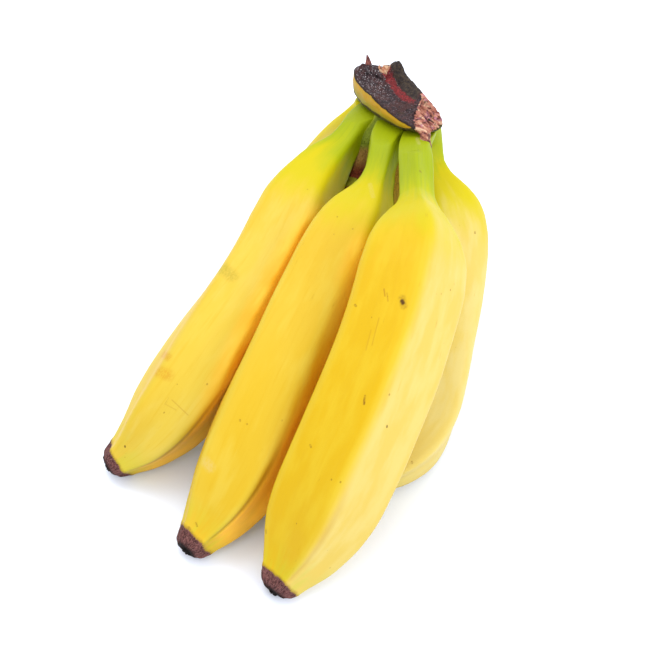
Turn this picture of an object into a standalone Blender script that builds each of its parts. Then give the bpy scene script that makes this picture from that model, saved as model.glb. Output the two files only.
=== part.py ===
"""A bunch of five ripe bananas grown together at their crown, standing on the tips of the front three and on the
bellies of the rear two. Lengths are millimetres until they go into a mesh. +Y runs from the tips to the crown,
+Z is up, the origin is on the ground under the middle of the bunch."""

import math

import bmesh
import bpy
import numpy as np

MM = 0.001

# Middle of the bunch's footprint, in the layout the paths below are written in.
MIDDLE = np.array([53.50, 90.76, 0.0])

# ---- shape of one banana ----
SEGMENTS = 20  # round a banana, four to a face
RINGS = 36  # along it
FACES = 5  # a banana's five faces, with a soft ridge between each two
SHARPNESS = 12.0  # higher is a sharper ridge
TAPER = ((0, 0.23), (0.035, 0.31), (0.155, 0.51), (0.345, 0.74), (0.55, 0.905), (0.8, 0.985), (1, 1))
TAPER_LENGTH = 58.0
NIB = 1.6  # how far the dried end of the flower stands out
GAP = 0.42  # left between bananas that press together
PRESS = 0.9  # how deep a banana that rests on the ground is flattened

# name: path from crown to tip, stalk radius, belly radius, turn of the ridges in degrees, where the banana leaves the
# crown's stub, and how far it has swollen from stalk to belly at each length from the crown
BANANAS = {
    "banana_rear_left": dict(
        path=((13.6, 189.4, 59.2), (8.4, 183.2, 48.6), (4.8, 169.3, 35), (7.5, 141.2, 22), (10, 103, 17.4), (10, 69, 16.6), (10, 44, 14.5)),
        stalk=6.4, belly=16.5, turn=10, start=3.0, up=(-0.7, 0.6, 0.3),
        swell=((3, 0), (8, 0.09), (14, 0.25), (24, 0.44), (34, 0.62), (44, 0.82), (55, 0.96), (67, 1)),
    ),
    "banana_front_left": dict(
        path=((17, 180, 66), (16.2, 161.4, 60.5), (13.9, 148, 56.9), (13.9, 131, 53), (19, 89, 48), (18, 51, 40), (11, 20, 21.5), (-1, 3, 5.2)),
        stalk=6.3, belly=17.0, turn=-34, start=9.0, up=(0, 0, 1),
        swell=((13, 0), (19, 0.05), (24, 0.16), (30, 0.33), (39, 0.53), (49, 0.77), (59, 0.94), (72, 1)),
    ),
    "banana_front_middle": dict(
        path=((32, 171, 71), (40, 151, 67.5), (46, 122, 63.5), (51, 78, 57), (53, 40, 43), (52, 7, 19.5), (48, -16, 5.2)),
        stalk=6.3, belly=17.6, turn=-28, start=8.0, up=(0, 0, 1),
        swell=((25, 0), (31, 0.07), (38, 0.26), (44, 0.48), (50, 0.68), (57, 0.84), (66, 0.95), (78, 1)),
    ),
    "banana_front_right": dict(
        path=((48, 166, 77), (63.4, 139.2, 79), (79, 108.2, 81), (90.9, 66.5, 70), (93, 31, 47.5), (90, 5, 21), (87, -15, 5.2)),
        stalk=6.4, belly=19.3, turn=0, start=9.0, up=(0, 0, 1),
        swell=((39, 0), (45, 0.11), (51, 0.32), (57, 0.53), (64, 0.75), (72, 0.91), (84, 1)),
    ),
    "banana_rear_right": dict(
        path=((45.6, 183.6, 68), (51.0, 176.2, 57), (68.6, 157.8, 35.5), (83, 124.5, 23.5), (94.8, 88, 18.8), (99.8, 63, 17.8), (92, 38, 15)),
        stalk=6.4, belly=18.4, turn=6, start=8.5, up=(0.9, 0.3, 0.3),
        swell=((16, 0), (21, 0.13), (26, 0.38), (31, 0.63), (37, 0.85), (43, 0.96), (50, 1)),
    ),
}

# ---- the crown: a cut pad that the five stalks grow from ----
CROWN_MIDDLE = np.array([32.6, 181.6, 76.8])
CROWN_LONG = np.array([0.928, -0.249, 0.277])  # along the pad, from the left bananas to the right ones
CROWN_UP = np.array([-0.227, 0.211, 0.950])  # out of the cut face
CROWN_HALF_LENGTH = 27.3
CROWN_HALF_WIDTH = 10.4
CROWN_SHIFT = -1.9  # of the outline's middle along the pad
CROWN_ASKEW = -0.15  # the outline lies a little askew: shift across for each millimetre along
# height over the pad's middle and share of its full outline, from the underside up to the rim and in over the cut face
CROWN_RINGS = ((-8.4, 0.45), (-7.4, 0.72), (-5.2, 0.90), (-1.5, 1.0), (3.0, 1.02), (6.2, 0.98), (7.4, 0.91), (6.4, 0.77), (5.8, 0.52), (6.2, 0.26))
CROWN_SEGMENTS = 36
# the cut slants: its height over the pad's middle at each place along
CUT_HEIGHT = ((-30, 8.8), (-24, 8.0), (-16, 6.8), (-6, 4.8), (2, 3.2), (10, 1.4), (18, -0.6), (27, -2.6))
# and where the stalks' rounded shoulders begin under it
SEAM_HEIGHT = ((-28, -4.6), (-20, -5.4), (-10, -5.9), (2, -6.6), (10, -6.9), (18, -5.8), (27, -4.6))
# torn tips on the rim: place round it in degrees, height, half-width in degrees
CROWN_TEARS = ((152, 6.6, 9), (105, 6.4, 11), (72, 1.6, 18))
# where each stub ends inside the pad: along it, across it, height
STUB_ROOTS = {
    "banana_rear_left": (-19.0, 3.5, -3.6),
    "banana_front_left": (-15.0, -0.6, -5.0),
    "banana_front_middle": (0.0, -2.8, -7.0),
    "banana_front_right": (14.8, -3.0, -7.0),
    "banana_rear_right": (11.5, 2.5, -7.0),
}

PEEL = (0.92, 0.72, 0.07, 1.0)
CUT = (0.10, 0.045, 0.035, 1.0)


def clear_scene():
    for thing in list(bpy.data.objects):
        bpy.data.objects.remove(thing, do_unlink=True)


def through(knots, at):
    """Monotone curve through (x, y) knots, read at the given places."""
    x = np.array([k[0] for k in knots], float)
    y = np.array([k[1] for k in knots], float)
    h = np.diff(x)
    d = np.diff(y) / h
    m = np.zeros_like(y)
    m[0], m[-1] = d[0], d[-1]
    for i in range(1, len(x) - 1):
        if d[i - 1] * d[i] > 0:
            a, b = 2 * h[i] + h[i - 1], h[i] + 2 * h[i - 1]
            m[i] = (a + b) / (a / d[i - 1] + b / d[i])
    i = np.clip(np.searchsorted(x, at, side="right") - 1, 0, len(x) - 2)
    t = np.clip((at - x[i]) / h[i], 0, 1)
    return (
        (2 * t**3 - 3 * t**2 + 1) * y[i]
        + (t**3 - 2 * t**2 + t) * h[i] * m[i]
        + (3 * t**2 - 2 * t**3) * y[i + 1]
        + (t**3 - t**2) * h[i] * m[i + 1]
    )


def curve(points, samples=600):
    """Natural cubic through the points: positions and the length run at each."""
    p = np.array(points, float)
    k = np.concatenate([[0], np.cumsum(np.linalg.norm(np.diff(p, axis=0), axis=1) ** 0.7)])
    h = np.diff(k)
    n = len(k)
    left, right = np.zeros((n, n)), np.zeros((n, 3))
    left[0, 0] = left[-1, -1] = 1
    for i in range(1, n - 1):
        left[i, i - 1 : i + 2] = h[i - 1], 2 * (h[i - 1] + h[i]), h[i]
        right[i] = 6 * ((p[i + 1] - p[i]) / h[i] - (p[i] - p[i - 1]) / h[i - 1])
    m = np.linalg.solve(left, right)
    u = np.linspace(0, k[-1], samples)
    i = np.clip(np.searchsorted(k, u, side="right") - 1, 0, n - 2)
    a, b, w = (k[i + 1] - u)[:, None], (u - k[i])[:, None], h[i][:, None]
    q = (m[i] * a**3 + m[i + 1] * b**3) / (6 * w)
    q += (p[i] / w - m[i] * w / 6) * a + (p[i + 1] / w - m[i + 1] * w / 6) * b
    s = np.concatenate([[0], np.cumsum(np.linalg.norm(np.diff(q, axis=0), axis=1))])
    return q, s


def read(q, s, at):
    return np.stack([np.interp(at, s, q[:, c]) for c in range(3)], 1)


class Banana:
    """One banana's middle line, its girth along it, and the directions its ridges are counted from."""

    def __init__(self, spec):
        self.spec = spec
        q, s = curve([np.array(p, float) - MIDDLE for p in spec["path"]])
        round_it = np.linspace(0, 2 * math.pi, 60)
        for _ in range(4):
            self.q, self.s, self.length = q, s, s[-1]
            self.follow()
            lowest = self.ring(np.linspace(0.3, 1, 80) * self.length, round_it)[1][..., 2].min()
            # the free part comes down, or up, until its lowest side is pressed a little into the ground
            q = q - np.outer(np.clip(s / (0.45 * s[-1]), 0, 1), [0, 0, lowest + PRESS])
            s = np.concatenate([[0], np.cumsum(np.linalg.norm(np.diff(q, axis=0), axis=1))])

    def follow(self):
        """Carries the directions across along the line without twist."""
        t = np.gradient(self.q, axis=0)
        self.t = t / np.linalg.norm(t, axis=1)[:, None]
        v = np.array(self.spec["up"], float)
        n = np.zeros_like(self.q)
        for i in range(len(n)):
            v = v - self.t[i] * (v @ self.t[i])
            v = v / np.linalg.norm(v)
            n[i] = v
        self.n, self.b = n, np.cross(self.t, n)
        self.r = self.girth(self.s)

    def girth(self, s):
        spec = self.spec
        swell = through(spec["swell"], s)
        end = through(TAPER, (self.length - s) / TAPER_LENGTH)
        foot = 0.5 * np.exp(-np.maximum(s, 0) / 4.0)
        return (spec["stalk"] + foot + (spec["belly"] - spec["stalk"]) * swell) * end

    def frame(self, s):
        """Middle, and the two directions across, at length s; before 0 the line runs on straight."""
        inside = np.clip(s, 0, self.length)
        q = read(self.q, self.s, inside) + np.minimum(s, 0)[:, None] * self.t[0]
        return q, read(self.n, self.s, inside), read(self.b, self.s, inside)

    def ring(self, s, angles):
        q, n, b = self.frame(s)
        r = self.girth(s)[:, None] * section(angles, math.radians(self.spec["turn"]))[None]
        across = np.cos(angles)[None, :, None] * n[:, None] + np.sin(angles)[None, :, None] * b[:, None]
        return q, q[:, None] + r[..., None] * across

    def depth(self, points):
        """How far each point is outside the round girth; negative inside."""
        step = 3
        q, r = self.q[::step], self.r[::step]
        out = np.full(len(points), np.inf)
        for i in range(0, len(points), 400):
            d = np.linalg.norm(points[i : i + 400, None] - q[None], axis=2)
            out[i : i + 400] = (d - r[None]).min(axis=1)
        return out


def section(angles, turn):
    """Distance from the middle to a rounded five-sided outline of about unit girth."""
    total = 0
    for k in range(FACES):
        face = turn + (k + 0.5) * 2 * math.pi / FACES
        total = total + np.maximum(0, np.cos(angles - face)) ** SHARPNESS
    return total ** (-1 / SHARPNESS)


def press_apart(own, others, middle, points):
    """Draws each point back to its own middle line until it's on its own side of the surface that lies midway
    between its banana and each neighbour."""
    shape = points.shape
    flat = points.reshape(-1, 3)
    middles = np.repeat(middle, shape[1], axis=0)
    for other in others:
        close = other.depth(flat) < 6
        if not close.any():
            continue
        p, m = flat[close], middles[close]
        low, high = np.zeros(len(p)), np.ones(len(p))
        for _ in range(16):
            mid = (low + high) / 2
            at = m + (p - m) * mid[:, None]
            free = own.depth(at) < other.depth(at) - GAP
            low, high = np.where(free, mid, low), np.where(free, high, mid)
        fine = own.depth(p) < other.depth(p) - GAP
        flat[close] = np.where(fine[:, None], p, m + (p - m) * low[:, None])
    return flat.reshape(shape)


def solid(name, points, faces, colour, roughness):
    mesh = bpy.data.meshes.new(name)
    mesh.from_pydata([tuple(p) for p in np.asarray(points) * MM], [], faces)
    mesh.validate()
    for polygon in mesh.polygons:
        polygon.use_smooth = True
    thing = bpy.data.objects.new(name, mesh)
    bpy.context.scene.collection.objects.link(thing)
    material = bpy.data.materials.new(name)
    material.use_nodes = True
    shader = material.node_tree.nodes["Principled BSDF"]
    shader.inputs["Base Color"].default_value = colour
    shader.inputs["Roughness"].default_value = roughness
    shader.inputs["Metallic"].default_value = 0.0
    mesh.materials.append(material)
    return thing


def tube_faces(rings, segments, first, last):
    """Side faces between rings, and a fan to a single point at either end."""
    faces = []
    for i in range(rings - 1):
        for j in range(segments):
            k = (j + 1) % segments
            faces.append((i * segments + j, i * segments + k, (i + 1) * segments + k, (i + 1) * segments + j))
    for j in range(segments):
        k = (j + 1) % segments
        faces.append((first, k, j))
        faces.append((last, (rings - 1) * segments + j, (rings - 1) * segments + k))
    return faces


def build_banana(name, own, others):
    spec = own.spec
    angles = math.radians(spec["turn"]) + np.arange(SEGMENTS) * 2 * math.pi / SEGMENTS
    # rings closer together on the shoulder and towards the tip
    u = np.linspace(0, 1, RINGS)
    s = spec["start"] + (own.length - spec["start"]) * (u + 0.06 * np.sin(2 * math.pi * u))
    s[0], s[-1] = spec["start"], own.length
    middle, points = own.ring(s, angles)
    points = press_apart(own, others, middle, points)
    top = points[0].mean(axis=0)
    tip = points[-1].mean(axis=0) + own.t[-1] * NIB
    everything = np.concatenate([points.reshape(-1, 3), [top, tip]])
    count = RINGS * SEGMENTS
    thing = solid(name, everything, tube_faces(RINGS, SEGMENTS, count, count + 1), PEEL, 0.42)
    flatten_underside(thing)
    return thing


def flatten_underside(thing):
    """Cuts off what would be below the ground, which leaves one flat face to rest on."""
    body = bmesh.new()
    body.from_mesh(thing.data)
    bmesh.ops.bisect_plane(
        body, geom=body.verts[:] + body.edges[:] + body.faces[:], dist=1e-6, plane_co=(0, 0, 0), plane_no=(0, 0, 1), clear_inner=True
    )
    rim = [edge for edge in body.edges if edge.is_boundary]
    made = bmesh.ops.contextual_create(body, geom=rim)["faces"]
    for face in made:
        face.smooth = False
    bmesh.ops.recalc_face_normals(body, faces=body.faces[:])
    body.to_mesh(thing.data)
    body.free()


def across_pad():
    out = np.cross(CROWN_UP, CROWN_LONG)  # across the pad, away from the bananas
    return out / np.linalg.norm(out)


def build_pad():
    out = across_pad()
    angles = np.arange(CROWN_SEGMENTS) * 2 * math.pi / CROWN_SEGMENTS
    degrees = np.degrees(angles)
    rings = []
    for height, share in CROWN_RINGS:
        rim = math.exp(-(((height - 7.4) / 1.6) ** 2)) * (share > 0.8)
        wave = 1 + 0.02 * np.sin(3 * angles + 0.6) + 0.02 * np.sin(7 * angles + height * 0.35)
        a = CROWN_SHIFT + CROWN_HALF_LENGTH * share * wave * np.sign(np.cos(angles)) * np.abs(np.cos(angles)) ** 0.86
        b = CROWN_HALF_WIDTH * share * wave * np.sign(np.sin(angles)) * np.abs(np.sin(angles)) ** 0.86
        b = b + CROWN_ASKEW * a
        # a ring's height follows the slant of the cut, down to a level underside
        cut = through(CUT_HEIGHT, np.clip(a, -30, 27))
        level = (height + 8.4) / 14.8
        h = -8.4 + (cut + 8.4) * level
        for place, tall, wide in CROWN_TEARS:
            away = (degrees - place + 180) % 360 - 180
            h = h + rim * tall * np.exp(-((away / wide) ** 2))
        rings.append(CROWN_MIDDLE - MIDDLE + a[:, None] * CROWN_LONG + b[:, None] * out + h[:, None] * CROWN_UP)
    points = np.concatenate(rings)
    first, last = len(points), len(points) + 1
    points = np.concatenate([points, [rings[0].mean(axis=0), rings[-1].mean(axis=0)]])
    return solid("crown", points, tube_faces(len(rings), CROWN_SEGMENTS, first, last), CUT, 0.85)


def build_stub(banana, root):
    """The crown's own end of one stalk, swelling as it runs back into the pad."""
    segments, rings = 20, 9
    angles = math.radians(banana.spec["turn"]) + np.arange(segments) * 2 * math.pi / segments
    s = np.full(rings, banana.spec["start"] - GAP)
    middle, points = banana.ring(s, angles)
    end, way = middle[0], read(banana.t, banana.s, s)[0]
    far = np.linalg.norm(end - root)
    u = np.linspace(0, 1, rings)[:, None]  # 0 at the banana, 1 inside the pad
    h = u * u * (3 - 2 * u)
    line = end * (1 - h) + root * h - way * far * 1.1 * u * (1 - u) ** 2
    along = np.gradient(line, axis=0)
    along = along / np.linalg.norm(along, axis=1)[:, None]
    n = points[0, 0] - end
    size = np.linalg.norm(points[0] - end, axis=1)
    rings_out = []
    for i in range(rings):
        n = n - along[i] * (n @ along[i])
        n = n / np.linalg.norm(n)
        b = np.cross(n, along[i])
        turn = np.arange(segments) * 2 * math.pi / segments
        ring = np.cos(turn)[:, None] * n + np.sin(turn)[:, None] * b
        rings_out.append(line[i] + ring * (size * (1 + 0.30 * u[i, 0] ** 1.6))[:, None])
    rings_out[0] = points[0]
    everything = np.concatenate(rings_out + [[end, line[-1]]])
    # the shoulders flatten out under the pad
    place = everything - (CROWN_MIDDLE - MIDDLE)
    over = place @ CROWN_UP - through(SEAM_HEIGHT, np.clip(place @ CROWN_LONG, -28, 27)) - 0.6
    share = np.append(np.repeat(np.clip(3 * u[:, 0] - 1, 0, 1), segments), [0, 1])
    everything = everything - np.outer(0.75 * share * np.maximum(over, 0), CROWN_UP)
    count = rings * segments
    faces = [f[::-1] for f in tube_faces(rings, segments, count, count + 1)]
    return solid("stub", everything, faces, PEEL, 0.5)


def join(base, extra):
    """Makes base the union of both, and drops the other."""
    union = base.modifiers.new("join", "BOOLEAN")
    union.operation, union.solver, union.object = "UNION", "EXACT", extra
    bpy.context.view_layer.update()
    graph = bpy.context.evaluated_depsgraph_get()
    mesh = bpy.data.meshes.new_from_object(base.evaluated_get(graph))
    base.modifiers.clear()
    old = base.data
    base.data = mesh
    mesh.name = base.name
    bpy.data.meshes.remove(old)
    bpy.data.objects.remove(extra, do_unlink=True)


def main():
    clear_scene()
    bananas = {name: Banana(spec) for name, spec in BANANAS.items()}
    for name, own in bananas.items():
        others = [b for other, b in bananas.items() if other != name]
        build_banana(name, own, others)
    crown = build_pad()
    out = across_pad()
    for name, banana in bananas.items():
        along, across, height = STUB_ROOTS[name]
        root = CROWN_MIDDLE - MIDDLE + along * CROWN_LONG + across * out + height * CROWN_UP
        join(crown, build_stub(banana, root))


main()
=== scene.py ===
"""Looks of a bunch of five ripe bananas on a pale floor. Lengths are millimetres until they go into a mesh."""

import math

import bpy
import numpy as np
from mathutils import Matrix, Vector
from mathutils.bvhtree import BVHTree


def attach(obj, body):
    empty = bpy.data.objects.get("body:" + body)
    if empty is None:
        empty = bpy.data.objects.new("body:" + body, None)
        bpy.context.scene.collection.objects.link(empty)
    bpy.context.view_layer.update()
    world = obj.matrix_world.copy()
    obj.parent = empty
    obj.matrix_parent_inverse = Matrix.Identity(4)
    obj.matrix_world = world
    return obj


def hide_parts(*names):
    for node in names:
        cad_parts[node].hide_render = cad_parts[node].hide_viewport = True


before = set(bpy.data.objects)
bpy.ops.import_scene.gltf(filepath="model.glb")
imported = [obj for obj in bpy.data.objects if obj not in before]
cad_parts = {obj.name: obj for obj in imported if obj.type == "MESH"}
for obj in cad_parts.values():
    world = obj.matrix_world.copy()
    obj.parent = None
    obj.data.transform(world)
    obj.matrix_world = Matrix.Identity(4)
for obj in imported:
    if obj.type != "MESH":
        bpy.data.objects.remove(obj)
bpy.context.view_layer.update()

MM = 0.001

# ------------------------------------------------------------------ layout, as the solid model has it
MIDDLE = np.array([53.50, 90.76, 0.0])
FACES = 5
TAPER = ((0, 0.23), (0.035, 0.31), (0.155, 0.51), (0.345, 0.74), (0.55, 0.905), (0.8, 0.985), (1, 1))
TAPER_LENGTH = 58.0
GAP = 0.12
PRESS = 0.9

BANANAS = {
    "banana_rear_left": dict(
        path=((13.6, 189.4, 59.2), (8.4, 183.2, 48.6), (4.8, 169.3, 35), (7.5, 141.2, 22), (10, 103, 17.4), (10, 69, 16.6), (10, 44, 14.5)),
        stalk=6.4, belly=16.5, turn=10, start=3.0, up=(-0.7, 0.6, 0.3),
        swell=((3, 0), (8, 0.09), (14, 0.25), (24, 0.44), (34, 0.62), (44, 0.82), (55, 0.96), (67, 1)),
    ),
    "banana_front_left": dict(
        path=((17, 180, 66), (16.2, 161.4, 60.5), (13.9, 148, 56.9), (13.9, 131, 53), (19, 89, 48), (18, 51, 40), (11, 20, 21.5), (-1, 3, 5.2)),
        stalk=6.3, belly=17.0, turn=-34, start=9.0, up=(0, 0, 1),
        swell=((13, 0), (19, 0.05), (24, 0.16), (30, 0.33), (39, 0.53), (49, 0.77), (59, 0.94), (72, 1)),
    ),
    "banana_front_middle": dict(
        path=((32, 171, 71), (40, 151, 67.5), (46, 122, 63.5), (51, 78, 57), (53, 40, 43), (52, 7, 19.5), (48, -16, 5.2)),
        stalk=6.3, belly=17.6, turn=-28, start=8.0, up=(0, 0, 1),
        swell=((25, 0), (31, 0.07), (38, 0.26), (44, 0.48), (50, 0.68), (57, 0.84), (66, 0.95), (78, 1)),
    ),
    "banana_front_right": dict(
        path=((48, 166, 77), (63.4, 139.2, 79), (79, 108.2, 81), (90.9, 66.5, 70), (93, 31, 47.5), (90, 5, 21), (87, -15, 5.2)),
        stalk=6.4, belly=19.3, turn=0, start=9.0, up=(0, 0, 1),
        swell=((39, 0), (45, 0.11), (51, 0.32), (57, 0.53), (64, 0.75), (72, 0.91), (84, 1)),
    ),
    "banana_rear_right": dict(
        path=((45.6, 183.6, 68), (51.0, 176.2, 57), (68.6, 157.8, 35.5), (83, 124.5, 23.5), (94.8, 88, 18.8), (99.8, 63, 17.8), (92, 38, 15)),
        stalk=6.4, belly=18.4, turn=6, start=8.5, up=(0.9, 0.3, 0.3),
        swell=((16, 0), (21, 0.13), (26, 0.38), (31, 0.63), (37, 0.85), (43, 0.96), (50, 1)),
    ),
}

CROWN_MIDDLE = np.array([32.6, 181.6, 76.8])
CROWN_LONG = np.array([0.928, -0.249, 0.277])
CROWN_UP = np.array([-0.227, 0.211, 0.950])
CROWN_OUT = np.cross(CROWN_UP, CROWN_LONG)
CROWN_OUT = CROWN_OUT / np.linalg.norm(CROWN_OUT)
STUB_ROOTS = {
    "banana_rear_left": (-19.0, 3.5, -3.6),
    "banana_front_left": (-15.0, -0.6, -5.0),
    "banana_front_middle": (0.0, -2.8, -7.0),
    "banana_front_right": (14.8, -3.0, -7.0),
    "banana_rear_right": (11.5, 2.5, -7.0),
}

# ------------------------------------------------------------------ what only the looks have
SEGMENTS = 110
SIDE_STEP = 1.05  # between rings along a banana
CAP_STEP = 0.42  # between rings on its dried end
CAP_LENGTH = 13.0
HOOK_LENGTH = 20.0
# per banana: how far up the dried end reaches, which way it leans, and how distinct the ridges are along its middle
DETAIL = {
    "banana_rear_left": dict(seed=11, cap=5.0, lean=0.4, edge=9.0, flare=0.25, green_to=-8.0, twist=0.0, hook=(0, -0.8, 1.0)),
    "banana_front_left": dict(seed=23, cap=4.9, lean=2.4, edge=10.0, flare=0.30, green_to=30.0, twist=0.33, hook=(-0.8, -3.1, 2.7)),
    "banana_front_middle": dict(seed=37, cap=4.8, lean=2.0, edge=11.0, flare=0.28, green_to=33.0, twist=0.14, hook=(-0.1, -2.7, 2.7)),
    "banana_front_right": dict(seed=41, cap=4.1, lean=1.2, edge=15.0, flare=0.10, green_to=42.0, twist=0.33, hook=(-0.1, -1.8, 1.8)),
    "banana_rear_right": dict(seed=59, cap=5.0, lean=0.2, edge=9.0, flare=0.12, green_to=17.0, twist=0.0, hook=(0, -0.8, 1.0)),
}


def smooth(low, high, x):
    t = np.clip((np.asarray(x, float) - low) / (high - low), 0, 1)
    return t * t * (3 - 2 * t)


def noise(points, seed=0):
    """Smooth lattice noise, about -1 to 1, at an array of 3-D points."""
    p = np.asarray(points, float)
    i = np.floor(p).astype(np.int64)
    f = p - i
    u = f * f * f * (f * (f * 6 - 15) + 10)
    total = 0.0
    for dx in (0, 1):
        for dy in (0, 1):
            for dz in (0, 1):
                n = (i[..., 0] + dx) * 374761393 + (i[..., 1] + dy) * 668265263 + (i[..., 2] + dz) * 1440662683
                n = (n + seed * 974634777) & 0xFFFFFFFF
                n = ((n ^ (n >> 13)) * 1274126177) & 0xFFFFFFFF
                n = n ^ (n >> 16)
                w = (u[..., 0] if dx else 1 - u[..., 0]) * (u[..., 1] if dy else 1 - u[..., 1])
                w = w * (u[..., 2] if dz else 1 - u[..., 2])
                total = total + w * (n / 0xFFFFFFFF * 2 - 1)
    return total


def rough(points, seed=0, octaves=3):
    """Several sizes of noise on top of each other."""
    total, size = 0.0, 1.0
    for k in range(octaves):
        total = total + size * noise(np.asarray(points) * 2.03**k, seed + 17 * k)
        size *= 0.5
    return total


def through(knots, at):
    """Monotone curve through (x, y) knots, read at the given places."""
    x = np.array([k[0] for k in knots], float)
    y = np.array([k[1] for k in knots], float)
    h = np.diff(x)
    d = np.diff(y) / h
    m = np.zeros_like(y)
    m[0], m[-1] = d[0], d[-1]
    for i in range(1, len(x) - 1):
        if d[i - 1] * d[i] > 0:
            a, b = 2 * h[i] + h[i - 1], h[i] + 2 * h[i - 1]
            m[i] = (a + b) / (a / d[i - 1] + b / d[i])
    i = np.clip(np.searchsorted(x, at, side="right") - 1, 0, len(x) - 2)
    t = np.clip((at - x[i]) / h[i], 0, 1)
    return (
        (2 * t**3 - 3 * t**2 + 1) * y[i]
        + (t**3 - 2 * t**2 + t) * h[i] * m[i]
        + (3 * t**2 - 2 * t**3) * y[i + 1]
        + (t**3 - t**2) * h[i] * m[i + 1]
    )


def curve(points, samples=600):
    """Natural cubic through the points: positions and the length run at each."""
    p = np.array(points, float)
    k = np.concatenate([[0], np.cumsum(np.linalg.norm(np.diff(p, axis=0), axis=1) ** 0.7)])
    h = np.diff(k)
    n = len(k)
    left, right = np.zeros((n, n)), np.zeros((n, 3))
    left[0, 0] = left[-1, -1] = 1
    for i in range(1, n - 1):
        left[i, i - 1 : i + 2] = h[i - 1], 2 * (h[i - 1] + h[i]), h[i]
        right[i] = 6 * ((p[i + 1] - p[i]) / h[i] - (p[i] - p[i - 1]) / h[i - 1])
    m = np.linalg.solve(left, right)
    u = np.linspace(0, k[-1], samples)
    i = np.clip(np.searchsorted(k, u, side="right") - 1, 0, n - 2)
    a, b, w = (k[i + 1] - u)[:, None], (u - k[i])[:, None], h[i][:, None]
    q = (m[i] * a**3 + m[i + 1] * b**3) / (6 * w)
    q += (p[i] / w - m[i] * w / 6) * a + (p[i + 1] / w - m[i + 1] * w / 6) * b
    s = np.concatenate([[0], np.cumsum(np.linalg.norm(np.diff(q, axis=0), axis=1))])
    return q, s


def read(q, s, at):
    return np.stack([np.interp(at, s, q[:, c]) for c in range(3)], 1)


def section(angles, turn, sharp=12.0, reach=None):
    """Distance from the middle to a rounded five-sided outline of about unit girth. reach scales each side's
    distance."""
    total = 0
    for k in range(FACES):
        face = turn + (k + 0.5) * 2 * math.pi / FACES
        near = np.maximum(0, np.cos(angles - face))
        if reach is not None:
            near = near / reach[k]
        total = total + near**sharp
    return total ** (-1 / sharp)


class Banana:
    """One banana's middle line, its girth along it, and the directions its ridges are counted from."""

    def __init__(self, name, spec):
        self.name, self.spec = name, spec
        q, s = curve([np.array(p, float) - MIDDLE for p in spec["path"]])
        round_it = np.linspace(0, 2 * math.pi, 60)
        for _ in range(4):
            self.q, self.s, self.length = q, s, s[-1]
            self.follow()
            lowest = self.plain(np.linspace(0.3, 1, 80) * self.length, round_it)[..., 2].min()
            q = q - np.outer(np.clip(s / (0.45 * s[-1]), 0, 1), [0, 0, lowest + PRESS])
            s = np.concatenate([[0], np.cumsum(np.linalg.norm(np.diff(q, axis=0), axis=1))])
        self.enter()

    def follow(self):
        t = np.gradient(self.q, axis=0)
        self.t = t / np.linalg.norm(t, axis=1)[:, None]
        v = np.array(self.spec["up"], float)
        n = np.zeros_like(self.q)
        for i in range(len(n)):
            v = v - self.t[i] * (v @ self.t[i])
            v = v / np.linalg.norm(v)
            n[i] = v
        self.n, self.b = n, np.cross(self.t, n)
        self.r = self.girth(self.s)

    def girth(self, s):
        spec = self.spec
        swell = through(spec["swell"], s)
        end = through(TAPER, (self.length - s) / TAPER_LENGTH)
        foot = 0.5 * np.exp(-np.maximum(s, 0) / 4.0)
        return (spec["stalk"] + foot + (spec["belly"] - spec["stalk"]) * swell) * end

    def plain(self, s, angles):
        q, n, b = (read(v, self.s, s) for v in (self.q, self.n, self.b))
        r = self.girth(s)[:, None] * section(angles, math.radians(self.spec["turn"]))[None]
        across = np.cos(angles)[None, :, None] * n[:, None] + np.sin(angles)[None, :, None] * b[:, None]
        return q[:, None] + r[..., None] * across

    def enter(self):
        """The stalk's way on into the crown, from its start to its root there."""
        start = self.spec["start"]
        end = read(self.q, self.s, [start])[0]
        way = read(self.t, self.s, [start])[0]
        along, across, height = STUB_ROOTS[self.name]
        root = CROWN_MIDDLE - MIDDLE + along * CROWN_LONG + across * CROWN_OUT + height * CROWN_UP
        far = np.linalg.norm(end - root)
        u = np.linspace(0, 1, 41)[:, None]
        h = u * u * (3 - 2 * u)
        self.way_in = end * (1 - h) + root * h - way * far * 1.1 * u * (1 - u) ** 2
        run = np.concatenate([[0], np.cumsum(np.linalg.norm(np.diff(self.way_in, axis=0), axis=1))])
        self.run_in = run
        # one line from the root to the tip: s counts on below the start
        back = slice(None, 0, -1)
        kept = self.s > start
        q = np.concatenate([self.way_in[back], [end], self.q[kept]])
        s = np.concatenate([start - run[back], [start], self.s[kept]])
        # the last of it hooks outwards
        hooked = np.clip((HOOK_LENGTH - (self.length - s)) / HOOK_LENGTH, 0, 1) ** 2
        q = q + np.outer(hooked, DETAIL[self.name]["hook"])
        t = np.gradient(q, s, axis=0)
        t = t / np.linalg.norm(t, axis=1)[:, None]
        n = np.zeros_like(q)
        first = len(run) - 1
        v = read(self.n, self.s, [start])[0]
        for i in range(first, -1, -1):
            v = v - t[i] * (v @ t[i])
            v = v / np.linalg.norm(v)
            n[i] = v
        n[first + 1 :] = self.n[kept]
        n = n - t * (n * t).sum(axis=1)[:, None]
        n = n / np.linalg.norm(n, axis=1)[:, None]
        self.line = dict(q=q, s=s, t=t, n=n, b=np.cross(t, n))

    def full(self, s):
        line = self.line
        return tuple(read(line[k], line["s"], s) for k in "qtnb")

    def depth(self, points):
        """How far each point is outside the round girth; negative inside."""
        step = 3
        q, r = self.q[::step], self.r[::step]
        out = np.full(len(points), np.inf)
        for i in range(0, len(points), 400):
            d = np.linalg.norm(points[i : i + 400, None] - q[None], axis=2)
            out[i : i + 400] = (d - r[None]).min(axis=1)
        return out


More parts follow.
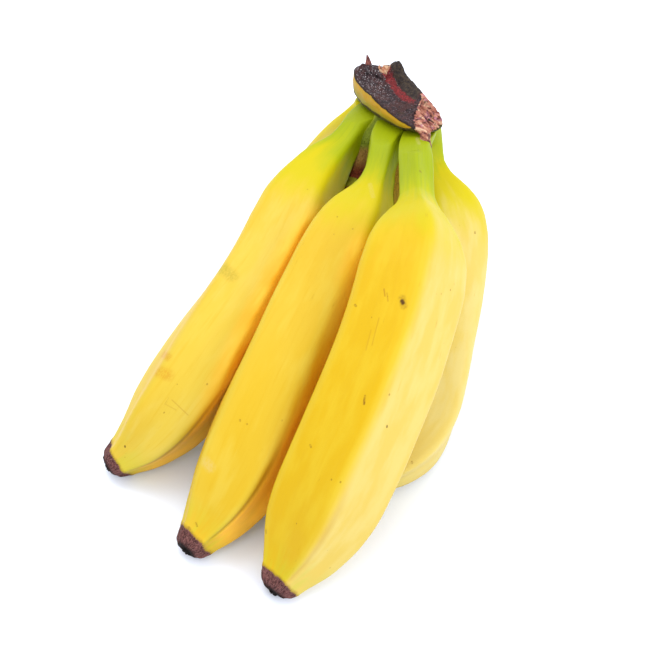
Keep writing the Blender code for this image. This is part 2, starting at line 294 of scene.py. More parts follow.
def press_apart(own, others, middle, points):
    """Draws each point back to its own middle line until it's on its own side of the surface that lies midway
    between its banana and each neighbour."""
    shape = points.shape
    flat = points.reshape(-1, 3)
    middles = np.repeat(middle, shape[1], axis=0)
    for other in others:
        close = other.depth(flat) < 5
        if not close.any():
            continue
        p, m = flat[close], middles[close]
        low, high = np.zeros(len(p)), np.ones(len(p))
        for _ in range(12):
            mid = (low + high) / 2
            at = m + (p - m) * mid[:, None]
            free = own.depth(at) < other.depth(at) - GAP
            low, high = np.where(free, mid, low), np.where(free, high, mid)
        fine = own.depth(p) < other.depth(p) - GAP
        flat[close] = np.where(fine[:, None], p, m + (p - m) * low[:, None])
    return flat.reshape(shape)


def pad_places(points):
    """A point's place along the pad, across it and above its middle."""
    p = points - (CROWN_MIDDLE - MIDDLE)
    return p @ CROWN_LONG, p @ CROWN_OUT, p @ CROWN_UP


def seam_height(u):
    """Where the pad ends and the stalks begin, along its front."""
    return through(((-28, -4.6), (-20, -5.4), (-10, -5.9), (2, -6.6), (10, -6.9), (18, -5.8), (27, -4.6)), np.clip(u, -28, 27))


def give(mesh, name, values):
    """Puts one number, or one vector, on each vertex."""
    values = np.asarray(values, np.float32)
    kind = "FLOAT" if values.ndim == 1 else "FLOAT_VECTOR"
    made = mesh.attributes.new(name, kind, "POINT")
    made.data.foreach_set("value" if kind == "FLOAT" else "vector", values.ravel())


def piece_from(name, points, faces, attributes):
    mesh = bpy.data.meshes.new(name)
    mesh.from_pydata((np.asarray(points) * MM).tolist(), [], faces)
    mesh.validate()
    mesh.polygons.foreach_set("use_smooth", [True] * len(mesh.polygons))
    for key, values in attributes.items():
        give(mesh, key, values)
    thing = bpy.data.objects.new(name, mesh)
    bpy.context.scene.collection.objects.link(thing)
    return thing


def ring_faces(rings, segments):
    j = np.arange(segments)
    k = (j + 1) % segments
    faces = []
    for i in range(rings - 1):
        faces.append(np.stack([i * segments + j, i * segments + k, (i + 1) * segments + k, (i + 1) * segments + j], 1))
    return np.concatenate(faces).tolist()


def build_banana(own, others):
    spec, detail = own.spec, DETAIL[own.name]
    seed = detail["seed"]
    rng = np.random.default_rng(seed)
    turn = math.radians(spec["turn"])
    angles = turn + np.arange(SEGMENTS) * 2 * math.pi / SEGMENTS
    start, length = spec["start"], own.length

    deep = own.run_in[-1]
    inside = start - deep + deep * np.concatenate([[0, 0.004, 0.012, 0.03, 0.06], np.linspace(0.10, 1, 14)[:-1]])
    side = np.linspace(start, length - CAP_LENGTH, int((length - CAP_LENGTH - start) / SIDE_STEP))
    near = np.linspace(length - CAP_LENGTH, length, int(CAP_LENGTH / CAP_STEP))[1:]
    s = np.concatenate([inside, side, near])
    q, t, n, b = own.full(s)
    tip = length - s  # distance left to the tip

    # the ridges wander a little, and the five sides aren't equally broad
    wander = 0.05 * noise(np.stack([s / 46, 0 * s, 0 * s], 1), seed) * smooth(8, 40, s)
    wander = wander + detail["twist"] * (smooth(30, 70, s) if own.name == "banana_front_right" else smooth(125, 45, tip))
    reach = 1 + 0.025 * rng.standard_normal(FACES)
    reach = reach / reach.mean()
    sharp = detail["edge"] + 14 * smooth(60, 8, tip) - 3.0 * smooth(30, 12, s)
    grid_angles = np.broadcast_to(angles, (len(s), SEGMENTS)) + wander[:, None]
    total = 0
    for k in range(FACES):
        face = turn + (k + 0.5) * 2 * math.pi / FACES
        total = total + (np.maximum(0, np.cos(grid_angles - face)) / reach[k]) ** sharp[:, None]
    outline = total ** (-1 / sharp[:, None])
    # sides sink in between the ridges towards the tip and on the stalk
    hollow = 0.085 * smooth(60, 14, tip) * smooth(1.0, 6, tip) + 0.03 * smooth(34, 22, s) * smooth(start, start + 10, s)
    between = 0.5 - 0.5 * np.cos(5 * (grid_angles - turn))
    outline = outline * (1 - hollow[:, None] * between)
    outline = 1 + (outline - 1) * (1 - 0.55 * smooth(start + 6, start - 3, s))[:, None]
    girth = own.girth(np.maximum(s, start))
    into = np.clip((start - s) / deep, 0, 1)
    girth = girth * (1 + detail["flare"] * into**1.6) - 1.6 * smooth(0.90, 1.0, into) ** 2
    # the dried end is a blunt thimble
    girth = girth + 1.0 * smooth(8.0, 0.8, tip) - 0.8 * smooth(1.3, 0.0, tip)
    r = girth[:, None] * outline
    # a crease runs along the foot of the ridge that faces forward, up from the dried end
    off = (grid_angles - turn + math.pi) % (2 * math.pi) - math.pi
    creased = {"banana_front_left": 0.9, "banana_front_middle": 1.0, "banana_front_right": 0.45}.get(own.name, 0.0)
    crease = creased * np.exp(-(((off + 0.15) / 0.075) ** 2)) * (smooth(62, 34, tip) * smooth(4, 9, tip))[:, None]
    r = r - 0.55 * crease

    # a point's place on a plain cylinder, for patterns that run along the fruit
    around = np.stack([np.cos(angles), np.sin(angles)], 1) * spec["belly"]
    tube = np.concatenate(
        [np.broadcast_to(around[None], (len(s), SEGMENTS, 2)), np.broadcast_to(s[:, None, None], (len(s), SEGMENTS, 1))], 2
    )
    # long shallow dents and swellings
    body = smooth(4, 30, s) * smooth(2, 18, tip)
    r = r + (0.34 * noise(tube / [15, 15, 38], seed + 1) + 0.16 * noise(tube / [7, 7, 17], seed + 2)) * body[:, None]
    r = r + 0.05 * noise(tube / [2.2, 2.2, 9], seed + 3) * smooth(1, 8, tip)[:, None]

    # the dried end: a step down at an uneven edge, then wrinkles
    edge = detail["cap"] + 1.3 * np.cos(angles - detail["lean"]) + 0.35 * noise(tube[0] / [4.5, 4.5, 1], seed + 4)
    edge = edge + 0.25 * np.maximum(0, np.cos(5 * (angles - turn))) ** 3  # it reaches further up along the ridges
    past = edge[None] - tip[:, None]  # over 0 on the dried end
    cap = smooth(-0.35, 0.35, past)
    r = r - 0.32 * smooth(-0.1, 0.9, past) + 0.14 * np.exp(-((past + 0.7) / 0.6) ** 2)
    wrinkle = noise(tube / [1.5, 1.5, 4.0], seed + 5) + 0.6 * noise(tube / [0.8, 0.8, 1.6], seed + 6)
    r = r + 0.30 * wrinkle * cap
    across = np.cos(angles)[None, :, None] * n[:, None] + np.sin(angles)[None, :, None] * b[:, None]
    points = q[:, None] + r[..., None] * across
    points = press_apart(own, others, q, points)
    # where a neighbour lies close, for painted orange bounce light between the bananas, and where the peel is painted
    # paler
    near = np.full(points.shape[:2], 60.0)
    for other in others:
        if other.name != "banana_rear_left":
            near = np.minimum(near, other.depth(points.reshape(-1, 3)).reshape(near.shape))
    close = smooth(11, 1.0, near) * smooth(start + 34, start + 66, s)[:, None]
    # painted sheen: paler cream along the rear right and on the front right's right-hand faces; on the rear left, paler
    # towards the stalk
    pale = np.zeros(points.shape[:2])
    if own.name == "banana_rear_right":
        pale = 0.9 * np.broadcast_to(smooth(14, 32, s)[:, None], pale.shape) * (1 - 0.6 * close)
    if own.name == "banana_front_right":
        pale = 0.72 * smooth(0.06, -0.22, off) * smooth(-1.9, -1.3, off) * smooth(34, 70, s)[:, None]
    if own.name == "banana_rear_left":
        pale = 0.7 * np.broadcast_to(smooth(60, 30, s)[:, None], pale.shape)
    # the lower faces near the tips of the front left and middle bananas, for painted orange shade
    under = smooth(-0.10, -0.30, off) * smooth(-1.7, -1.2, off) * (smooth(95, 50, tip) * smooth(5, 14, tip))[:, None]
    under = under * {"banana_front_left": 0.9, "banana_front_middle": 1.0}.get(own.name, 0.0)
    # the stalk ends in a low shelf under the crown
    u, w, h = pad_places(points)
    over = np.maximum(h - seam_height(u) + 1.3, 0) * smooth(start + 9, start + 4, s)[:, None]
    points = points - (over * 0.93 * (over / (over + 0.5)))[..., None] * CROWN_UP

    # the end face, dished, with the stub of the flower standing in it
    last, rim = points[-1], r[-1]
    centre, out = q[-1], t[-1]
    shift = (n[-1] * math.cos(detail["lean"] + 2.6) + b[-1] * math.sin(detail["lean"] + 2.6)) * 0.5
    ends, end_tips = [], []
    for share, rise in (
        (0.93, 0.34), (0.82, 0.52), (0.70, 0.38), (0.60, 0.08), (0.52, -0.05), (0.46, 0.18), (0.42, 0.62),
        (0.385, 0.82), (0.35, 1.02), (0.29, 1.18), (0.21, 1.24), (0.12, 1.18),
    ):
        ragged = 0.30 * noise(np.stack([np.cos(angles) * 2.2, np.sin(angles) * 2.2, 0 * angles + rise], 1), seed + 8)
        tall = rise + ragged * (0.4 + 0.6 * (share < 0.5))
        off = smooth(0.7, 0.42, share)
        ends.append(centre + shift * off + (last - centre) * share * (1 + 0.12 * ragged[:, None]) + out * tall[:, None])
        end_tips.append(np.full(SEGMENTS, -rise - 0.6 * (share < 0.55)))
    points = np.concatenate([points, ends])
    rings = len(points)

    flat = points.reshape(-1, 3)
    tips = np.concatenate([np.broadcast_to(tip[:, None], (len(s), SEGMENTS)).ravel(), np.ravel(end_tips)])
    caps = np.concatenate([cap.ravel(), np.ones(len(ends) * SEGMENTS)])
    pasts = np.concatenate([past.ravel(), np.full(len(ends) * SEGMENTS, 6.0)])
    tubes = np.concatenate([tube.reshape(-1, 3), np.concatenate([tube[-1] * [e, e, 1] + [0, 0, k * 0.4] for k, e in enumerate(np.linspace(0.9, 0.1, len(ends)))])])
    alongs = np.concatenate([np.broadcast_to(s[:, None], (len(s), SEGMENTS)).ravel(), np.full(len(ends) * SEGMENTS, length)])
    ridge = np.maximum(0, np.cos(5 * (grid_angles - turn)))
    ridges = np.concatenate([ridge.ravel(), np.zeros(len(ends) * SEGMENTS)])
    spare = np.zeros(len(ends) * SEGMENTS + 2)
    shade = np.stack([np.append(v.ravel(), spare) for v in (close, pale, under)], 1)
    creases = np.append(crease.ravel(), spare)

    # closed with one point inside the crown and one on the stub of the flower
    flat = np.concatenate([flat, [q[0], points[-1].mean(axis=0)]])
    tips = np.append(tips, [length, -2.4])
    caps, pasts, ridges = np.append(caps, [0, 1]), np.append(pasts, [-length, 6.0]), np.append(ridges, [0, 0])
    alongs = np.append(alongs, [s[0], length])
    tubes = np.concatenate([tubes, [[0, 0, s[0]], [0, 0, length + 5]]])
    flat[:, 2] = np.maximum(flat[:, 2], 0.03)

    faces = ring_faces(rings, SEGMENTS)
    head, foot = len(flat) - 2, len(flat) - 1
    for j in range(SEGMENTS):
        k = (j + 1) % SEGMENTS
        faces.append((head, k, j))
        faces.append((foot, (rings - 1) * SEGMENTS + j, (rings - 1) * SEGMENTS + k))
    thing = piece_from(
        own.name + "_skin", flat, faces, dict(along=alongs, left=tips, dried=caps, past=pasts, ridge=ridges, tube=tubes, shade=shade, crease=creases)
    )
    return thing


# ------------------------------------------------------------------ the crown, from a field that is negative inside it
CROWN_PITCH = 0.40


def nets(field, origin, pitch):
    """The field's zero surface: one point in every cell that it crosses, and a quad round every crossed edge."""
    size = np.array(field.shape)
    below = field < 0
    corner = [(i, j, k) for i in (0, 1) for j in (0, 1) for k in (0, 1)]
    view = [tuple(slice(c, n - 1 + c) for c, n in zip(cell, size)) for cell in corner]
    count = sum(below[v].astype(np.int8) for v in view)
    mixed = (count > 0) & (count < 8)
    index = np.full(mixed.shape, -1, np.int64)
    cells = np.argwhere(mixed)
    index[mixed] = np.arange(len(cells))
    values = np.stack([field[v][mixed] for v in view], 1)
    total, hits = np.zeros((len(cells), 3)), np.zeros(len(cells))
    for a in range(8):
        for b in range(a + 1, 8):
            if sum(x != y for x, y in zip(corner[a], corner[b])) != 1:
                continue
            crossed = (values[:, a] < 0) != (values[:, b] < 0)
            t = np.where(crossed, values[:, a] / np.where(crossed, values[:, a] - values[:, b], 1), 0)
            place = np.array(corner[a]) + t[:, None] * (np.array(corner[b]) - np.array(corner[a]))
            total += np.where(crossed[:, None], place, 0)
            hits += crossed
    points = origin + (cells + total / hits[:, None]) * pitch
    faces = []
    for axis in range(3):
        o1, o2 = [c for c in range(3) if c != axis]
        low = [slice(1, n - 1) for n in size]
        low[axis] = slice(0, size[axis] - 1)
        high = list(low)
        high[axis] = slice(1, size[axis])
        a, b = below[tuple(low)], below[tuple(high)]
        edges = np.argwhere(a != b)
        inward = a[a != b]
        base = edges.copy()
        base[:, o1] += 1
        base[:, o2] += 1
        quad = []
        for d1, d2 in ((-1, -1), (0, -1), (0, 0), (-1, 0)):
            c = base.copy()
            c[:, o1] += d1
            c[:, o2] += d2
            quad.append(index[c[:, 0], c[:, 1], c[:, 2]])
        quad = np.stack(quad, 1)
        flip = inward if axis != 1 else ~inward
        quad = np.where(flip[:, None], quad, quad[:, ::-1])
        faces.append(quad)
    return points, np.concatenate(faces)


def blend_min(a, b, k):
    h = np.maximum(k - np.abs(a - b), 0) / k
    return np.minimum(a, b) - h * h * k / 4


def blend_max(a, b, k):
    return -blend_min(-a, -b, k)


def largest_part(points, faces):
    """Only the biggest connected part."""
    label = np.arange(len(points))
    while True:
        low = label[faces].min(axis=1)
        new = label.copy()
        np.minimum.at(new, faces.ravel(), np.repeat(low, faces.shape[1]))
        new = new[new]
        if (new == label).all():
            break
        label = new
    names, counts = np.unique(label, return_counts=True)
    keep = label == names[counts.argmax()]
    number = np.cumsum(keep) - 1
    return points[keep], number[faces[keep[faces].all(axis=1)]]


def taper(points, a, b, ra, rb):
    """Distance to a tapered rod."""
    a, b = np.asarray(a, float), np.asarray(b, float)
    ab = b - a
    t = np.clip(((points - a) @ ab) / (ab @ ab), 0, 1)
    return np.linalg.norm(points - a - t[..., None] * ab, axis=-1) - (ra + (rb - ra) * t)


def cut_height(u, w):
    """The cut slants: it's high at the left end and low at the right one."""
    knots = ((-30, 8.8), (-24, 8.0), (-16, 6.8), (-6, 4.8), (2, 3.2), (10, 1.4), (18, -0.6), (27, -2.6))
    return through(knots, np.clip(u, -30, 27)) + 0.04 * w


def pad_outline(u):
    """Middle and half-width of the pad's plan at each place along it: a leaf that lies a little askew."""
    share = np.clip((u + 1.3) / 28.7, -1, 1)
    half = 10.4 * np.sqrt(np.maximum(1 - np.abs(share) ** 2.3, 0))
    return -0.2 - 0.15 * u, half


# height of the torn lip along the back edge, by place along the pad
BACK_LIP = ((-27, 0.2), (-24.5, 0.6), (-21, 0.3), (-18.5, 1.6), (-15.5, 3.6), (-12, 6.4), (-9.6, 7.6), (-8.2, 7.0), (-6.3, 4.2), (-2.6, 2.7), (2.4, 1.6), (7, 1.0), (12, 0.6), (20, 0.5), (26, 0.2))


def crown_parts(points, bananas):
    """Fields of the pad's wall, its cut face, its trimmed front and the stubs, each negative inside."""
    u, w, h = pad_places(points)
    place = np.stack([u, w, h], -1)
    lumps = rough(place / 7.0, 3, 2)
    fine = rough(place / 2.1, 5, 3)
    middle, half = pad_outline(u)
    side = w - middle + 0.25 * np.minimum(h + 2, 0)
    # outline: widest a little below the cut, drawn in under it
    waist = through(((-11, 0.66), (-8, 0.80), (-5.5, 0.90), (-2, 0.985), (2, 1.0), (7, 0.985), (16, 0.95)), np.clip(h, -11, 16))
    rho = (np.abs((u + 1.3) / (28.7 * waist)) ** 2.3 + np.abs(side / (10.4 * waist)) ** 2.3) ** (1 / 2.3)
    steep = np.abs(u + 1.3) / 28.7
    wall = (rho - 1) * (10.4 + 12.0 * smooth(0.55, 1.0, steep))
    wall = wall + 0.30 * lumps + 0.15 * fine
    # the cut face: cupped a little, with a rim and a torn lip along its back edge
    back = smooth(0.50, 0.92, side / np.maximum(half, 2.0)) * smooth(-27, -20, u)
    lip = through(BACK_LIP, np.clip(u, -27, 26)) * back * (1 + 0.16 * noise(np.stack([u / 1.6, w / 3.0, 0 * u], -1), 9))
    corner = 3.6 * np.exp(-(((u + 24.3) / 1.6) ** 2) - ((w - 2.6) / 2.2) ** 2) + 1.3 * np.exp(-(((u + 24.0) / 2.6) ** 2) - ((w + 0.6) / 2.0) ** 2)
    torn = smooth(10.5, 14.5, u + 0.69 * w) * smooth(-10.5, -7.5, w)
    face = cut_height(u, w) - 1.0 * np.exp(-((rho / 0.8) ** 4)) + lip + corner
    face = face + 0.45 * lumps + 0.42 * fine * smooth(1.02, 0.9, rho)
    # strands along the torn end, and the hole in it
    strand = noise(np.stack([(u + w * 0.3) / 6.0, (w + 0.32 * u) / 0.75, h * 0], -1), 31)
    face = face + torn * (0.9 * strand + 0.5 * rough(place / 1.6, 8, 2))
    hole = np.sqrt((u - 20.8) ** 2 / 1.9 + (w + 2.6) ** 2)
    face = face - 3.4 * smooth(1.5, 0.4, hole) + 0.5 * np.exp(-(((hole - 1.9) / 0.6) ** 2))
    top = (h - face) * 0.80
    # the front of the rim is pared by a knife, from the left end most of the way along
    pared = -(side + 0.97 * half) * 0.95 + (h - cut_height(u, w) + 0.5) * 0.30
    # stubs, running together with the pad and with each other
    stubs = np.full(u.shape, 50.0)
    for banana in bananas.values():
        radius = banana.girth(np.array([banana.spec["start"]]))[0]
        run = banana.run_in / banana.run_in[-1]
        one = np.full(u.shape, 50.0)
        for c, k in zip(banana.way_in[::2], run[::2]):
            size = radius * (1 + DETAIL[banana.name]["flare"] * k**1.6) - 1.3 - 0.3 * k
            one = np.minimum(one, np.linalg.norm(points - c, axis=-1) - size)
        stubs = blend_min(stubs, one, 1.5)
    stubs = blend_max(stubs, h - seam_height(u) + 2.4, 1.0)
    return u, w, h, wall, top, pared, stubs + 0.10 * lumps, face, side, half


def crown_field(points, bananas):
    u, w, h, wall, top, pared, stubs, face, side, half = crown_parts(points, bananas)
    pad = blend_max(wall, pared, 0.5)
    pad = blend_max(pad, top, 0.8)
    pad = blend_max(pad, (seam_height(u) - 1.6 - h) * 0.9, 2.4)
    field = blend_min(pad, stubs, 1.6)
    # a groove runs round under the pad, over the stalks
    field = field + 0.95 * np.exp(-(((h - seam_height(u)) / 0.95) ** 2)) * smooth(6, -2, side)
    # stubs end under the pad's cut face
    return blend_max(field, top + 0.25, 0.6)


def on_cut(u, w, over):
    return (u, w, cut_height(np.array([float(u)]), np.array([float(w)]))[0] + over)


# torn tips and fibres that stand off the pad: from, to, and the radius at either end
SPIKES = (
    # the thin point at the left end
    ((-21.6, 3.6, 8.0), (-22.4, 4.0, 11.4), 2.6, 1.5),
    ((-22.4, 4.0, 11.4), (-22.9, 4.2, 15.4), 1.5, 0.25),
    # pale fibres behind it
    ((-18.8, 7.0, 7.2), (-19.6, 8.0, 9.2), 0.9, 0.5),
    ((-16.6, 7.6, 7.4), (-17.2, 8.6, 9.9), 1.0, 0.5),
    ((-20.5, 5.6, 7.6), (-14.0, 6.0, 6.8), 0.8, 0.7),
    ((-19.0, 4.4, 7.4), (-13.0, 4.8, 6.2), 0.6, 0.5),
    # the torn flap that hangs off the right end, and its strands
    (on_cut(18.5, -6.6, -1.0), (24.4, -9.2, -4.4), 2.0, 2.2),
    ((24.4, -9.2, -4.4), (28.0, -11.0, -7.8), 2.2, 1.0),
    ((22.4, -9.6, -3.6), (24.0, -11.0, -6.6), 1.1, 0.6),
    (on_cut(12.6, -2.6, 0.0), on_cut(24.6, -6.9, 0.4), 0.75, 0.85),
    (on_cut(14.0, -4.6, -0.2), on_cut(23.2, -8.2, -1.2), 0.6, 0.7),
    (on_cut(16.2, -1.0, 0.0), on_cut(24.2, -4.4, 0.2), 0.7, 0.65),
    (on_cut(11.0, 2.2, 0.2), on_cut(21.0, 1.0, 0.4), 0.6, 0.6),
    (on_cut(9.0, 6.0, 0.2), on_cut(18.0, 3.6, 0.3), 0.7, 0.6),
)


def spikes(points):
    u, w, h = pad_places(points)
    p = np.stack([u, w, h], -1)
    bend = 0.35 * rough(p / 3.0, 21, 2)[..., None] * np.array([0.6, 0.6, 0.3])
    p = p + bend
    field = np.full(u.shape, 50.0)
    for a, b, ra, rb in SPIKES:
        field = np.minimum(field, taper(p, a, b, ra, rb))
    return field


# tissue that the necks share behind the gaps between them, coloured in the crown material with painted deep shade, in
# the layout: from, to, and the radius at either end
WEBS = (
    ((27, 178, 66), (25.0, 170.3, 60.3), 5.0, 5.4),
    ((25.0, 170.3, 60.3), (23.0, 163.3, 52.3), 5.4, 5.6),
    ((23.0, 163.3, 52.3), (23.0, 156.3, 45.3), 5.6, 5.6),
    ((23.0, 156.3, 45.3), (27.0, 148.3, 47.0), 5.6, 5.0),
    ((34, 178, 66), (39.3, 169.8, 60.1), 5.0, 5.6),
    ((39.3, 169.8, 60.1), (43.3, 162.8, 63.1), 5.6, 5.4),
    ((43.3, 162.8, 63.1), (47.3, 153.8, 62.1), 5.4, 5.0),
    ((47.3, 153.8, 62.1), (50.3, 146.8, 60.1), 5.0, 4.4),
    ((50.3, 146.8, 60.1), (55.3, 138.8, 60.1), 4.4, 2.6),
)
WEB_OUTWARD = np.array([0.322, -0.557, 0.766])


def web_facing(points):
    """How far a point on that tissue is turned outwards, -1 to 1."""
    best, facing = np.full(len(points), np.inf), np.zeros(len(points))
    for a, b, ra, rb in WEBS:
        a, b = np.array(a) - MIDDLE, np.array(b) - MIDDLE
        t = np.clip(((points - a) @ (b - a)) / ((b - a) @ (b - a)), 0, 1)
        off = points - a - t[:, None] * (b - a)
        far = np.linalg.norm(off, axis=1)
        field = far - (ra + (rb - ra) * t)
        facing = np.where(field < best, off @ WEB_OUTWARD / np.maximum(far, 1e-6), facing)
        best = np.minimum(best, field)
    return facing


def webs(points):
    field = np.full(points.shape[:-1], 50.0)
    for a, b, ra, rb in WEBS:
        field = blend_min(field, taper(points, np.array(a) - MIDDLE, np.array(b) - MIDDLE, ra, rb), 1.5)
    return field + 0.25 * rough(points / 4.0, 77, 2)


def crown_distance(points, bananas):
    return blend_min(blend_min(crown_field(points, bananas), spikes(points), 0.7), webs(points), 1.2)


def crown_masks(points, bananas):
    """Where each kind of surface is on the crown, 0 to 1."""
    u, w, h, wall, top, pared, stubs, face, side, half = crown_parts(points, bananas)
    place = np.stack([u, w, h], -1)
    wild = 0.5 * rough(place / 2.4, 71, 3)
    under = cut_height(u, w) - h
    front = smooth(1.0, -2.0, side)
    # stalk green under the seam
    low = seam_height(u) - 0.9
    flap = smooth(1.2, 0.2, spikes(points)) * smooth(19.0, 21.0, u)
    stalk = smooth(0.35, -0.35, h - low) * (1 - flap)
    seam = smooth(2.5, 1.3, h - seam_height(u) + 0.3 * wild) * (1 - stalk) * (1 - flap)
    # pared yellow sliver along the front wall
    floor = through(((-28, 3.6), (-26, 1.0), (-23, -0.9), (-19, -1.7), (-8, -2.2), (0, -2.9), (8, -3.7), (13, -3.6), (16.5, -2.7), (18.6, -1.4)), np.clip(u, -28, 18.6))
    skin = np.maximum(wall, pared)
    sliver = smooth(-0.35, 0.35, h - floor - 0.25 * wild) * smooth(-0.45, -1.0, top) * front * smooth(19.2, 18.0, u)
    edge = smooth(1.1, 0.4, np.abs(top + 0.2)) * smooth(0.9, 0.3, np.abs(skin)) * front * smooth(20.5, 18.5, u)
    # marks on the cut
    line_u = np.array([-17.5, -12.0, -6.7, 0.5, 5.5])
    line_w = np.interp(u, line_u, [8.4, 6.6, 4.5, 2.0, 2.6])
    red = smooth(3.4, 0.4, np.abs(w - line_w + 1.3 * wild)) * smooth(-19, -14, u) * smooth(9.5, 3.0, u)
    lobe = smooth(0.8, 3.0, w - line_w + 0.8 * wild) * smooth(-17.5, -14.0, u) * smooth(9.5, 5.5, u + 0.4 * w)
    torn = smooth(9.6, 12.8, u + 0.69 * w + 1.6 * wild) * np.maximum(smooth(-10.8, -8.6, w), smooth(18.0, 20.0, u))
    spike = smooth(1.2, 2.4, h - 9.4) * smooth(-19.5, -20.8, u)
    peach = smooth(3.2, 1.2, np.hypot((u + 17.3) / 1.3, (w - 8.4) / 0.9) + wild) * smooth(-0.5, 0.8, h - 6.0)
    # the shared tissue behind the necks, which the material colours with painted deep shade
    web = smooth(0.5, -0.3, webs(points) - np.minimum(crown_field(points, bananas), spikes(points)))
    seam, stalk = seam * (1 - web), stalk * (1 - web)
    web = np.stack([web, smooth(1.5, -1.5, points[:, 0] + MIDDLE[0] - 31.0), smooth(0.5, 0.8, web_facing(points))], 1)
    return dict(
        kind_web=web, kind_low=np.stack([stalk, seam, sliver], 1), kind_cut=np.stack([edge, red, lobe], 1), kind_torn=np.stack([torn, spike, peach], 1)
    )


def build_crown(bananas):
    u, w, h = np.array([-30.0, 30.0]), np.array([-14.5, 14.0]), np.array([-18.0, 17.0])
    ends = np.array([[a, b, c] for a in u for b in w for c in h])
    corners = CROWN_MIDDLE - MIDDLE + ends[:, :1] * CROWN_LONG + ends[:, 1:2] * CROWN_OUT + ends[:, 2:] * CROWN_UP
    for banana in bananas.values():
        corners = np.concatenate([corners, [banana.way_in[0] - 8, banana.way_in[0] + 8]])
    for a, b, ra, rb in WEBS:
        corners = np.concatenate([corners, [np.array(b) - MIDDLE - 7, np.array(b) - MIDDLE + 7]])
    low, high = corners.min(axis=0) - 1, corners.max(axis=0) + 1
    # read on a coarse grid first, then finely only near the surface
    step = 4
    blocks = np.ceil((high - low) / (CROWN_PITCH * step)).astype(int)
    shape = blocks * step + 1
    place = np.stack(np.meshgrid(*(np.arange(n + 1) for n in blocks), indexing="ij"), -1) * step
    coarse = crown_distance(low + place.reshape(-1, 3) * CROWN_PITCH, bananas).reshape(blocks + 1)
    near = np.zeros(blocks, bool)
    for corner in np.ndindex(2, 2, 2):
        view = tuple(slice(c, n + c) for c, n in zip(corner, blocks))
        near |= np.abs(coarse[view]) < 3.0
    field = np.repeat(np.repeat(np.repeat(coarse[:-1, :-1, :-1], step, 0), step, 1), step, 2)
    field = np.pad(field, ((0, 1), (0, 1), (0, 1)), mode="edge")
    wanted = np.zeros(shape, bool)
    for corner in np.ndindex(step + 1, step + 1, step + 1):
        wanted[tuple(slice(c, c + n * step, step) for c, n in zip(corner, blocks))] |= near
    spots = np.argwhere(wanted)
    values = [crown_distance(low + spots[i : i + 60000] * CROWN_PITCH, bananas) for i in range(0, len(spots), 60000)]
    field[wanted] = np.concatenate(values)
    points, faces = nets(field, low, CROWN_PITCH)
    points, faces = largest_part(points, faces)
    u, w, h = pad_places(points)
    masks = crown_masks(points, bananas)
    return piece_from("crown_skin", points, faces.tolist(), dict(pad=np.stack([u, w, h], 1), **masks))


# ------------------------------------------------------------------ materials
class Nodes:
    """Short ways to add nodes to one material."""

    def __init__(self, name):
        self.material = bpy.data.materials.new(name)
        self.material.use_nodes = True
        self.tree = self.material.node_tree
        self.shader = self.tree.nodes["Principled BSDF"]
        self.seen = {}

    def put(self, kind, settings=(), **inputs):
        node = self.tree.nodes.new(kind)
        for key, value in dict(settings).items():
            setattr(node, key, value)
        for key, value in inputs.items():
            self.feed(node.inputs[int(key[1:]) if key[0] == "_" else key.replace("_", " ")], value)
        return node

    def feed(self, socket, value):
        if hasattr(value, "is_linked") or hasattr(value, "links"):
            self.tree.links.new(value, socket)
        else:
            socket.default_value = value

    def attribute(self, name, output="Fac"):
        if (name, output) not in self.seen:
            node = self.put("ShaderNodeAttribute", dict(attribute_name=name))
            self.seen[name, output] = node.outputs[output]
        return self.seen[name, output]

    def math(self, operation, a, b=None, clamp=False):
        node = self.put("ShaderNodeMath", dict(operation=operation, use_clamp=clamp), _0=a)
        if b is not None:
            self.feed(node.inputs[1], b)
        return node.outputs[0]

    def ramp(self, value, low, high, to_low=0.0, to_high=1.0, kind="SMOOTHSTEP"):
        node = self.put("ShaderNodeMapRange", dict(interpolation_type=kind, clamp=True), _0=value, _1=low, _2=high, _3=to_low, _4=to_high)
        return node.outputs[0]

    def mix(self, factor, a, b, blend="MIX"):
        node = self.put("ShaderNodeMix", dict(data_type="RGBA", blend_type=blend, clamp_factor=True), _0=factor, _6=a, _7=b)
        return node.outputs[2]

    def stretch(self, vector, x, y, z):
        node = self.put("ShaderNodeMapping", {}, _0=vector)
        node.inputs[3].default_value = (x, y, z)
        return node.outputs[0]

    def noise(self, vector, scale, detail=2.0, rough=0.5, distortion=0.0):
        node = self.put(
            "ShaderNodeTexNoise", dict(noise_dimensions="3D"), Vector=vector, Scale=scale, Detail=detail, Roughness=rough, Distortion=distortion
        )
        return node.outputs[0]

    def spots(self, vector, scale, feature="F1", randomness=1.0):
        node = self.put("ShaderNodeTexVoronoi", dict(feature=feature), Vector=vector, Scale=scale, Randomness=randomness)
        return node.outputs["Distance"]

    def mark(self, place, a, b, width, soft=0.6):
        """How much a point lies on the stroke from a to b, both in metres."""
        a, b = Vector(a), Vector(b)
        run = b - a
        size = max(run.length_squared, 1e-12)
        rel = self.put("ShaderNodeVectorMath", dict(operation="SUBTRACT"), _0=place, _1=tuple(a)).outputs[0]
        if run.length < 1e-6:
            far = self.put("ShaderNodeVectorMath", dict(operation="LENGTH"), _0=rel).outputs["Value"]
        else:
            dot = self.put("ShaderNodeVectorMath", dict(operation="DOT_PRODUCT"), _0=rel, _1=tuple(run / size)).outputs["Value"]
            t = self.math("ADD", dot, 0.0, clamp=True)
            back = self.put("ShaderNodeVectorMath", dict(operation="SCALE"), _0=tuple(run))
            self.feed(back.inputs["Scale"], t)
            off = self.put("ShaderNodeVectorMath", dict(operation="SUBTRACT"), _0=rel, _1=back.outputs[0]).outputs[0]
            far = self.put("ShaderNodeVectorMath", dict(operation="LENGTH"), _0=off).outputs["Value"]
        return self.ramp(far, width * (1 - soft) * MM, width * (1 + soft) * MM, 1.0, 0.0)


def linear(code):
    """Linear colour from a hex code."""
    values = [int(code[i : i + 2], 16) / 255 for i in (1, 3, 5)]
    return tuple(v / 12.92 if v <= 0.04045 else ((v + 0.055) / 1.055) ** 2.4 for v in values) + (1.0,)


srgb = linear


